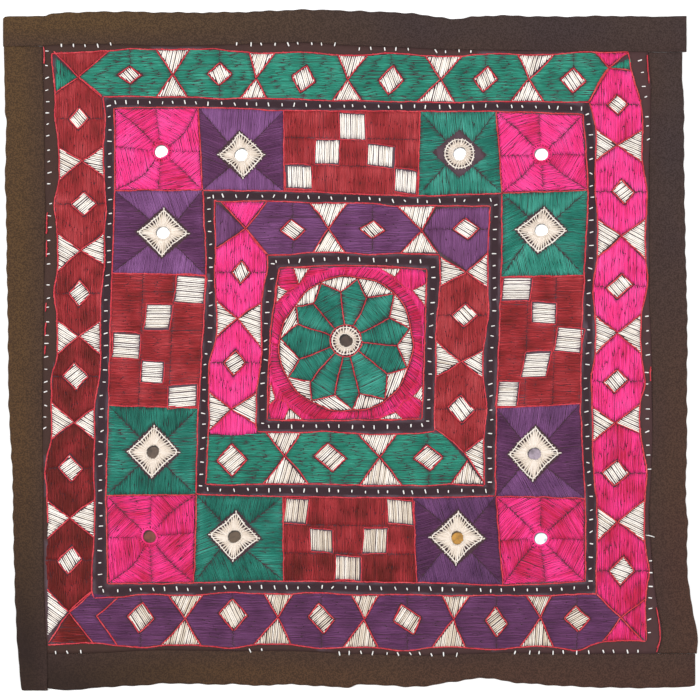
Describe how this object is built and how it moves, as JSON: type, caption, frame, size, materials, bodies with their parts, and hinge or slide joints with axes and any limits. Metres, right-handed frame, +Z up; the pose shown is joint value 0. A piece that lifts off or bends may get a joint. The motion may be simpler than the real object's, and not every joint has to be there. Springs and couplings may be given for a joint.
{
  "type": "embroidered tablecloth",
  "caption": "Square tablecloth lying flat: a centre panel covered in bright long-stitch embroidery with small mirrors, framed by plain dark cloth strips; covers and protects a table top.",
  "frame": {"origin": "under the middle of the cloth's outline, on the surface that it lies on", "axes": "+X to the right and +Y to the top edge of the cloth as it lies, +Z up out of its embroidered face"},
  "size_m": [0.6002, 0.5889, 0.0029],
  "materials": {
    "panel_cloth": "long-stitch embroidery in soft glossy floss on dark cotton",
    "border_cloth": "plain-woven faded dark cotton, folded double",
    "mirror_glass": "thin silvered glass"
  },
  "bodies": {
    "root": {"centre_panel": "panel_cloth", "border_top": "border_cloth", "border_right": "border_cloth", "border_bottom": "border_cloth", "border_left": "border_cloth", "mirror_centre": "mirror_glass", "mirror_corner_top_left": "mirror_glass", "mirror_corner_top_right": "mirror_glass", "mirror_corner_bottom_right": "mirror_glass", "mirror_corner_bottom_left": "mirror_glass", "mirror_top_purple": "mirror_glass", "mirror_top_green": "mirror_glass", "mirror_right_green": "mirror_glass", "mirror_right_purple": "mirror_glass", "mirror_bottom_purple": "mirror_glass", "mirror_bottom_green": "mirror_glass", "mirror_left_green": "mirror_glass", "mirror_left_purple": "mirror_glass"}
  },
  "joints": []
}
